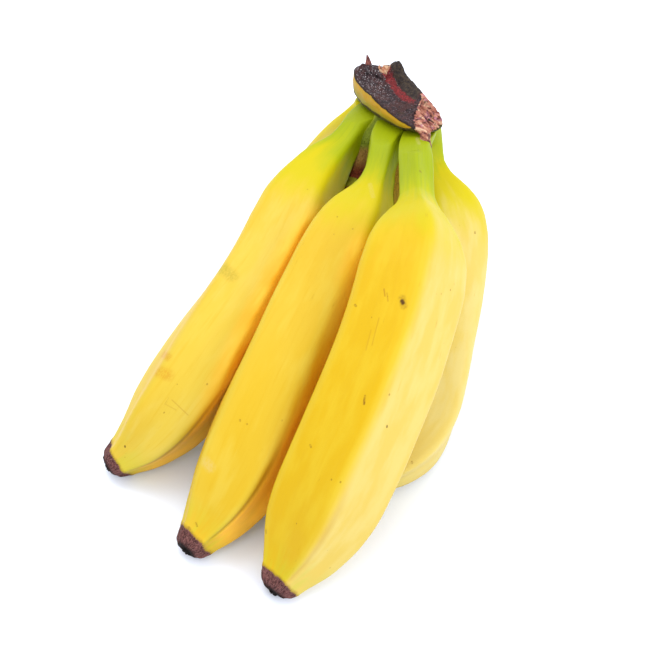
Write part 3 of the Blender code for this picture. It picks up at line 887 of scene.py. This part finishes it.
def peel(name, seed, green_to=34.0, rich=0.0, marks=()):
    """Ripe peel: yellow that varies along and round the fruit, green on the stalk, a dried purple-brown end."""

    def srgb(code):
        return tuple(PEEL_LEVEL * v for v in linear(code)[:3]) + (1.0,)

    n = Nodes(name)
    along, left, past = n.attribute("along"), n.attribute("left"), n.attribute("past")
    ridge, dried = n.attribute("ridge"), n.attribute("dried")
    tube = n.attribute("tube", "Vector")
    place = n.put("ShaderNodeTexCoord").outputs["Object"]
    moved = n.put("ShaderNodeVectorMath", dict(operation="ADD"), _0=tube, _1=(seed * 37.0, seed * 11.0, seed * 5.0)).outputs[0]

    broad = n.noise(n.stretch(moved, 1, 1, 0.35), 0.045, 2.0)
    patchy = n.noise(n.stretch(moved, 1, 1, 0.30), 0.16, 3.0)
    streaks = n.noise(n.stretch(moved, 1, 1, 0.055), 0.9, 3.0, 0.6)
    grain = n.noise(n.stretch(moved, 1, 1, 0.6), 1.6, 3.0, 0.6)

    close, pale, under = n.put("ShaderNodeSeparateXYZ", {}, _0=n.attribute("shade", "Vector")).outputs
    crease = n.attribute("crease")
    colour = n.mix(n.ramp(broad, 0.36, 0.64), srgb("#F5CE3C"), srgb("#F7D64C"))
    colour = n.mix(n.ramp(patchy, 0.42, 0.72, 0.0, 0.55), colour, srgb("#F9DE68"))
    colour = n.mix(rich, colour, n.mix(n.ramp(patchy, 0.40, 0.70), srgb("#F0C208"), srgb("#F4CC1C")))
    colour = n.mix(n.ramp(streaks, 0.48, 0.78, 0.0, 0.35), colour, srgb("#EDBD1C"))
    # painted highlight: a little paler along the ridge tops
    colour = n.mix(n.ramp(ridge, 0.80, 1.0, 0.0, 0.22), colour, srgb("#F4DE4C"))
    # painted sheen: paler cream where the pale part of the shade attribute is set; on the rear left it is paler towards
    # the stalk
    colour = n.mix(pale, colour, n.mix(n.ramp(patchy, 0.38, 0.66), srgb("#F5DA74"), srgb("#F8E38E")))
    # painted shade with orange bounce light on the lower faces near the tips
    low = n.mix(1.0, srgb("#F4B63C"), (1.75, 1.75, 1.75, 1.0), "MULTIPLY")
    colour = n.mix(n.math("MULTIPLY", under, n.ramp(patchy, 0.30, 0.60, 0.55, 0.9)), colour, low)
    # painted bounce light: brighter orange where a neighbour lies close
    deep = n.mix(n.ramp(patchy, 0.36, 0.64), srgb("#F7AE22"), srgb("#FBC63A"))
    deep = n.mix(1.0, deep, (1.6, 1.6, 1.6, 1.0), "MULTIPLY")
    colour = n.mix(n.math("MULTIPLY", close, 0.75), colour, deep)
    # painted shade: darker brown-orange along the crease
    colour = n.mix(n.math("MULTIPLY", crease, 0.55), colour, srgb("#B8780E"))

    # the end of the fruit keeps a little green
    tipward = n.math("MULTIPLY", n.ramp(left, 24.0, 4.0), n.ramp(patchy, 0.38, 0.66))
    colour = n.mix(n.math("MULTIPLY", tipward, 0.55), colour, srgb("#D8D226"))

    # lemon shoulder, green stalk
    uneven = n.math("MULTIPLY_ADD", n.math("SUBTRACT", patchy, 0.5), 26.0)
    n.feed(uneven.node.inputs[2], along)
    reach = n.math("SUBTRACT", uneven, n.math("MULTIPLY", ridge, 4.0))
    colour = n.mix(n.ramp(reach, green_to + 40, green_to + 10), colour, srgb("#E6D400"))
    colour = n.mix(n.ramp(reach, green_to + 9, green_to - 9), colour, srgb("#C3CA00"))
    colour = n.mix(n.ramp(reach, green_to - 2, green_to - 20), colour, srgb("#AEBE02"))
    fibres = n.noise(n.stretch(moved, 1, 1, 0.03), 1.5, 2.0)
    stalkward = n.ramp(along, green_to + 4, green_to - 10)
    colour = n.mix(n.math("MULTIPLY", n.ramp(fibres, 0.5, 0.8, 0.0, 0.6), stalkward), colour, srgb("#97AE14"))

    # fine freckles and faint scuffs
    dots = n.spots(n.stretch(moved, 1, 1, 0.8), 0.23)
    some = n.ramp(n.noise(moved, 0.09, 1.0), 0.52, 0.66)
    freckle = n.math("MULTIPLY", n.ramp(dots, 0.10, 0.045), some)
    body = n.math("MULTIPLY", n.ramp(along, 40.0, 60.0), n.ramp(past, -2.0, -5.0))
    colour = n.mix(n.math("MULTIPLY", n.math("MULTIPLY", freckle, body), 0.55), colour, srgb("#8A5A16"))
    scuff = n.math("MULTIPLY", n.ramp(n.noise(n.stretch(moved, 1, 1, 0.16), 0.8, 4.0, 0.7), 0.64, 0.74), n.ramp(n.noise(moved, 0.05, 0.0), 0.50, 0.60))
    colour = n.mix(n.math("MULTIPLY", n.math("MULTIPLY", scuff, body), 0.30), colour, srgb("#B98A1C"))

    heights = []
    for kind, a, b, width, strength in marks:
        shade = {"dark": "#4A2410", "brown": "#8C5A14", "orange": "#E39A1A", "olive": "#A89A1C", "pale": "#F1DDA0", "scratch": "#B5761A"}[kind]
        on = n.mark(place, a, b, width)
        if kind in ("olive", "orange", "brown", "pale"):
            on = n.math("MULTIPLY", on, n.ramp(grain, 0.30, 0.62, 0.25, 1.0))
        colour = n.mix(n.math("MULTIPLY", on, strength), colour, srgb(shade))

    # the dried end
    blotch = n.noise(tube, 0.75, 3.0, 0.6)
    dry = n.mix(n.ramp(blotch, 0.36, 0.64), srgb("#4C2A29"), srgb("#8A5855"))
    # pinkish patches on the dried end: painted highlights
    dry = n.mix(n.ramp(n.noise(tube, 2.1, 2.0), 0.54, 0.70, 0.0, 0.7), dry, srgb("#B98A82"))
    dry = n.mix(n.ramp(left, 0.9, -0.6), dry, srgb("#1A110D"))
    edge = n.math("MULTIPLY_ADD", n.math("SUBTRACT", n.noise(tube, 0.9, 3.0, 0.6), 0.5), 1.6)
    n.feed(edge.node.inputs[2], past)
    colour = n.mix(n.ramp(edge, -1.7, -0.1, 0.0, 0.75), colour, srgb("#A9822A"))
    colour = n.mix(n.ramp(edge, -0.45, 0.15), colour, dry)
    n.feed(n.shader.inputs["Base Color"], colour)

    wax = n.ramp(patchy, 0.3, 0.7, 0.42, 0.54)
    wax = n.math("ADD", wax, n.math("MULTIPLY", dried, 0.25))
    n.feed(n.shader.inputs["Roughness"], wax)
    n.shader.inputs["Specular IOR Level"].default_value = 0.14
    n.shader.inputs["IOR"].default_value = 1.45

    pores = n.noise(n.stretch(moved, 1, 1, 0.5), 2.6, 2.0, 0.5)
    relief = n.math("ADD", n.math("MULTIPLY", streaks, 0.055), n.math("MULTIPLY", pores, 0.018))
    relief = n.math("ADD", relief, n.math("MULTIPLY", n.math("MULTIPLY", blotch, dried), 0.5))
    bump = n.put("ShaderNodeBump", {}, Height=relief)
    bump.inputs["Strength"].default_value = 1.0
    bump.inputs["Distance"].default_value = MM
    n.feed(n.shader.inputs["Normal"], bump.outputs[0])
    return n.material


def crown_material():

    def srgb(code):
        return tuple(CROWN_LEVEL * v for v in linear(code)[:3]) + (1.0,)

    n = Nodes("crown")
    pad = n.attribute("pad", "Vector")

    def split(name):
        return n.put("ShaderNodeSeparateXYZ", {}, _0=n.attribute(name, "Vector")).outputs

    stalk, seam, sliver = split("kind_low")
    edge, red, lobe = split("kind_cut")
    torn, spike, peach = split("kind_torn")
    u, w, h = n.put("ShaderNodeSeparateXYZ", {}, _0=pad).outputs
    grain = n.noise(pad, 0.85, 4.0, 0.65)
    coarse = n.noise(pad, 0.22, 3.0, 0.6)
    fine = n.noise(pad, 2.0, 3.0, 0.6)
    cells = n.spots(pad, 0.95)
    beads = n.spots(pad, 1.5)
    fibre = n.noise(n.stretch(pad, 0.22, 1.4, 1.0), 0.62, 3.0, 0.6)

    def soft(mask, amount=0.8, low=0.42, high=0.58):
        """A mask whose edge follows the grain."""
        moved = n.math("MULTIPLY_ADD", n.math("SUBTRACT", grain, 0.5), amount)
        n.feed(moved.node.inputs[2], mask)
        return n.ramp(moved, low, high)

    # cut tissue: dark purple-grey, beaded with lighter grains
    cut = n.mix(n.ramp(grain, 0.34, 0.62), srgb("#1C1013"), srgb("#40282E"))
    cut = n.mix(n.ramp(coarse, 0.42, 0.60, 0.0, 0.80), cut, srgb("#4A2624"))
    cut = n.mix(n.math("MULTIPLY", n.ramp(cells, 0.50, 0.22), n.ramp(fine, 0.48, 0.62, 0.0, 0.65)), cut, srgb("#958A93"))
    bright = n.math("MULTIPLY", n.ramp(beads, 0.36, 0.14), n.ramp(u, 4.0, -15.0, 0.08, 1.0))
    cut = n.mix(n.math("MULTIPLY", bright, n.ramp(n.noise(pad, 0.6, 1.0), 0.40, 0.52)), cut, srgb("#D9D2D8"))
    cut = n.mix(n.ramp(n.noise(pad, 1.1, 2.0), 0.55, 0.66, 0.0, 0.85), cut, srgb("#1C1218"))
    # red streak, dark lobe, pale fibres
    streak = n.mix(n.ramp(fine, 0.38, 0.64), srgb("#5A1418"), srgb("#A5282E"))
    streak = n.mix(n.ramp(grain, 0.58, 0.70, 0.0, 0.6), streak, srgb("#B5605A"))
    colour = n.mix(n.math("MULTIPLY", soft(red, 1.5, 0.22, 0.82), 0.9), cut, streak)
    black = n.mix(n.ramp(grain, 0.42, 0.66), srgb("#2A2020"), srgb("#4D3F33"))
    black = n.mix(n.ramp(fine, 0.58, 0.74, 0.0, 0.6), black, srgb("#7A6B48"))
    colour = n.mix(soft(lobe, 1.3, 0.20, 0.85), colour, black)
    pale = n.mix(n.ramp(fibre, 0.40, 0.62), srgb("#C77F5E"), srgb("#F0C9A4"))
    colour = n.mix(soft(peach), colour, pale)
    thorn = n.mix(n.ramp(grain, 0.38, 0.62), srgb("#5E2E2C"), srgb("#93564C"))
    colour = n.mix(soft(spike), colour, thorn)
    # torn end: strands from dark red to pale peach, with pink places
    strands = n.mix(n.ramp(fibre, 0.34, 0.50), srgb("#7C3A36"), srgb("#C8806A"))
    strands = n.mix(n.ramp(fibre, 0.50, 0.64), strands, srgb("#F2C6A6"))
    strands = n.mix(n.ramp(n.noise(pad, 0.34, 2.0), 0.54, 0.66, 0.0, 0.8), strands, srgb("#CF87A0"))
    strands = n.mix(n.ramp(n.noise(pad, 0.5, 2.0), 0.46, 0.36, 0.0, 0.8), strands, srgb("#4A1E22"))
    strands = n.mix(n.ramp(h, -5.6, -7.6, 0.0, 0.75), strands, srgb("#5C2430"))
    colour = n.mix(soft(torn), colour, strands)
    hole = n.put("ShaderNodeVectorMath", dict(operation="DISTANCE"), _0=n.put("ShaderNodeCombineXYZ", {}, _0=u, _1=w).outputs[0], _1=(20.8, -2.6, 0.0)).outputs["Value"]
    colour = n.mix(n.ramp(hole, 1.35, 0.7), colour, srgb("#150A0A"))
    colour = n.mix(soft(edge, 0.5), colour, srgb("#2B1712"))
    # pared side: deep yellow, greener below and to the left, browner at its ends
    side = n.mix(n.ramp(u, -18.0, 16.0), srgb("#D29E00"), srgb("#D4A018"))
    side = n.mix(n.ramp(n.noise(n.stretch(pad, 0.4, 1, 1), 0.5, 3.0), 0.44, 0.66, 0.0, 0.7), side, srgb("#C4A40A"))
    low = n.math("ADD", h, n.math("MULTIPLY", u, 0.12))
    side = n.mix(n.math("MULTIPLY", n.ramp(low, 1.6, -3.6, 0.0, 0.85), n.ramp(u, 14.0, 2.0)), side, srgb("#98941A"))
    side = n.mix(n.ramp(u, -25.0, -28.2, 0.0, 0.8), side, srgb("#8F7650"))
    colour = n.mix(soft(sliver, 0.30), colour, side)
    # rind left outside the sliver: olive brown, made darker along the groove under the pad as painted shade
    rind = n.mix(n.ramp(grain, 0.4, 0.62), srgb("#3C340B"), srgb("#5E5616"))
    below = n.math("SUBTRACT", n.ramp(u, 20.0, 17.0), n.math("ADD", sliver, edge), clamp=True)
    slant = n.math("ADD", h, n.math("MULTIPLY", u, 0.21))
    below = n.math("MULTIPLY", below, n.ramp(slant, 1.6, 0.4))
    below = n.math("MULTIPLY", below, n.ramp(w, -3.0, -5.5))
    olive = n.mix(n.ramp(coarse, 0.42, 0.60), srgb("#5A5A10"), srgb("#4A3A0E"))
    colour = n.mix(n.math("MULTIPLY", below, n.math("SUBTRACT", 1.0, torn)), colour, olive)
    # the rind band along the seam: partly olive-brown rind, partly painted shade in the groove
    colour = n.mix(soft(seam, 0.5, 0.30, 0.62), colour, rind)
    # stalk green
    green = n.mix(n.ramp(coarse, 0.40, 0.62), linear("#6E7410"), linear("#8A9216"))
    green = n.mix(n.ramp(n.noise(n.stretch(pad, 1, 1, 0.12), 0.9, 2.0), 0.52, 0.72, 0.0, 0.5), green, linear("#4F4E0C"))
    colour = n.mix(n.ramp(stalk, 0.35, 0.75), colour, green)
    # the shared tissue behind the necks: dark red-brown, tan and dark olive as painted deep shade seen through the
    # gaps, darker green at the top as painted shade on the fused necks; plain stalk green where it faces outwards
    web, left_gap, facing = split("kind_web")
    brown = n.mix(n.ramp(h, -20.0, -27.0), linear("#8C6A30"), linear("#6E2A10"))
    brown = n.mix(n.ramp(h, -19.0, -15.0), brown, linear("#64700E"))
    web_painted_shade_and_green = n.mix(left_gap, n.mix(n.ramp(grain, 0.40, 0.62), linear("#86660A"), linear("#9C7810")), brown)
    web_painted_shade_and_green = n.mix(facing, n.mix(n.ramp(coarse, 0.40, 0.62), linear("#8E9A12"), linear("#A3A81A")), web_painted_shade_and_green)
    colour = n.mix(web, colour, web_painted_shade_and_green)
    n.feed(n.shader.inputs["Base Color"], colour)
    rough_at = n.ramp(stalk, 0.3, 0.8, 0.62, 0.42)
    n.feed(n.shader.inputs["Roughness"], rough_at)
    n.shader.inputs["Specular IOR Level"].default_value = 0.25
    rugged = n.math("SUBTRACT", 1.0, n.math("MAXIMUM", stalk, sliver), clamp=True)
    relief = n.math("ADD", n.math("MULTIPLY", grain, 0.9), n.math("MULTIPLY", n.ramp(cells, 0.5, 0.0), 0.35))
    relief = n.math("ADD", relief, n.math("MULTIPLY", n.math("MULTIPLY", fibre, torn), 0.9))
    relief = n.math("MULTIPLY", relief, n.ramp(rugged, 0.0, 1.0, 0.08, 1.0))
    bump = n.put("ShaderNodeBump", {}, Height=relief)
    bump.inputs["Strength"].default_value = 1.0
    bump.inputs["Distance"].default_value = MM
    n.feed(n.shader.inputs["Normal"], bump.outputs[0])
    return n.material


def floor_material():
    n = Nodes("floor")
    n.shader.inputs["Base Color"].default_value = (0.80, 0.85, 0.96, 1)
    n.shader.inputs["Roughness"].default_value = 0.85
    n.shader.inputs["Specular IOR Level"].default_value = 0.1
    return n.material


PEEL_LEVEL = 0.56
CROWN_LEVEL = 0.66
# blemishes, by where they show in the main view (650 units wide): kind, from, to, half-width in mm, strength
MARKS = {
    "banana_front_right": (
        ("brown", (402, 298), (404, 306), 1.3, 0.45), ("dark", (402, 301), (403, 303), 0.75, 0.9), ("scratch", (384, 289), (385, 296), 0.3, 0.5),
        ("scratch", (387, 293), (388, 301), 0.3, 0.35), ("brown", (365, 396), (364, 404), 0.45, 0.85), ("dark", (387, 426), (387, 427), 0.4, 0.7),
        ("brown", (355, 305), (356, 306), 0.45, 0.7), ("brown", (310, 445), (311, 447), 0.4, 0.7), ("brown", (317, 380), (318, 380), 0.35, 0.6),
        ("scratch", (379, 318), (372, 345), 0.25, 0.28), ("scratch", (371, 330), (366, 350), 0.25, 0.22), ("pale", (417, 138), (419, 144), 0.7, 0.3),
        ("brown", (420, 171), (421, 172), 0.5, 0.6), ("brown", (266, 530), (266, 533), 0.35, 0.6),
    ),
    "banana_front_left": (
        ("olive", (222, 268), (232, 276), 2.6, 0.40), ("orange", (163, 354), (168, 357), 1.6, 0.6), ("orange", (158, 371), (168, 375), 2.2, 0.5),
        ("scratch", (172, 400), (188, 415), 0.25, 0.28), ("scratch", (165, 404), (176, 410), 0.25, 0.2), ("dark", (125, 446), (125, 447), 0.35, 0.8),
        ("scratch", (214, 262), (226, 268), 0.2, 0.4),
    ),
    "banana_front_middle": (
        ("pale", (206, 462), (210, 467), 2.0, 0.3), ("brown", (240, 420), (240, 421), 0.4, 0.5), ("brown", (247, 424), (247, 424), 0.4, 0.5),
        ("pale", (370, 184), (373, 197), 0.9, 0.2), ("brown", (196, 523), (197, 526), 0.4, 0.6), ("brown", (189, 527), (190, 529), 0.4, 0.5),
    ),
    "banana_rear_right": (("brown", (475, 232), (475, 233), 0.4, 0.8), ("brown", (412, 462), (412, 463), 0.4, 0.8)),
}
RICH = {"banana_front_right": 0.92, "banana_front_middle": 0.5}
EYE, AIM = Vector((225.30, -399.66, 581.2)) * MM, Vector((0.30, -10.06, 45.0)) * MM


def on_skin(tree, x, y):
    """Where the line of sight through a place in the main view first meets a skin."""
    ahead = (AIM - EYE).normalized()
    right = ahead.cross(Vector((0, 0, 1))).normalized()
    way = ahead + right * (x - 325) / 1715 - right.cross(ahead) * (y - 325) / 1715
    return tree.ray_cast(EYE, way.normalized())[0]


def placed(thing, marks):
    """The blemishes with their ends found on the skin; any whose ends miss it are left out."""
    mesh = thing.data
    tree = BVHTree.FromPolygons([v.co for v in mesh.vertices], [tuple(face.vertices) for face in mesh.polygons])
    found = []
    for kind, a, b, width, strength in marks:
        a, b = on_skin(tree, *a), on_skin(tree, *b)
        if a is not None and b is not None:
            found.append((kind, a, b, width, strength))
    return found


# ------------------------------------------------------------------ build
bananas = {name: Banana(name, spec) for name, spec in BANANAS.items()}
for i, (name, own) in enumerate(bananas.items()):
    others = [b for other, b in bananas.items() if other != name]
    thing = build_banana(own, others)
    marks = placed(thing, MARKS.get(name, ()))
    thing.data.materials.append(peel(name, i + 1, DETAIL[name]["green_to"], RICH.get(name, 0.0), marks))
    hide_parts(name)
    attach(thing, "root")
crown = build_crown(bananas)
crown.data.materials.append(crown_material())
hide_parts("crown")
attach(crown, "root")

# ------------------------------------------------------------------ floor, light, camera
floor_mesh = bpy.data.meshes.new("floor")
floor_mesh.from_pydata([(-30, -30, 0), (30, -30, 0), (30, 30, 0), (-30, 30, 0)], [], [(0, 1, 2, 3)])
floor = bpy.data.objects.new("floor", floor_mesh)
bpy.context.scene.collection.objects.link(floor)
floor_mesh.materials.append(floor_material())

world = bpy.data.worlds.new("studio")
bpy.context.scene.world = world
world.use_nodes = True
world.node_tree.nodes["Background"].inputs[0].default_value = (1.0, 1.0, 1.0, 1)
world.node_tree.nodes["Background"].inputs[1].default_value = 1.55


def softbox(name, at, to, size, power):
    light = bpy.data.lights.new(name, "AREA")
    light.shape, light.size, light.size_y, light.energy = "RECTANGLE", size[0], size[1], power
    thing = bpy.data.objects.new(name, light)
    thing.location = at
    thing.rotation_euler = (Vector(to) - Vector(at)).to_track_quat("-Z", "Y").to_euler()
    bpy.context.scene.collection.objects.link(thing)


softbox("key", (-0.45, 0.35, 1.30), (0, 0, 0.04), (0.9, 0.9), 8.0)
softbox("side", (1.25, -0.13, 0.80), (0, 0, 0.05), (0.7, 0.6), 9.0)

data = bpy.data.cameras.new("camera")
data.sensor_width, data.lens = 36.0, 94.98
data.clip_start, data.clip_end = 0.05, 100
camera = bpy.data.objects.new("camera", data)
camera.location = EYE
camera.rotation_euler = (AIM - EYE).to_track_quat("-Z", "Y").to_euler()
bpy.context.scene.collection.objects.link(camera)
bpy.context.scene.camera = camera
bpy.context.scene.view_settings.view_transform = "Standard"
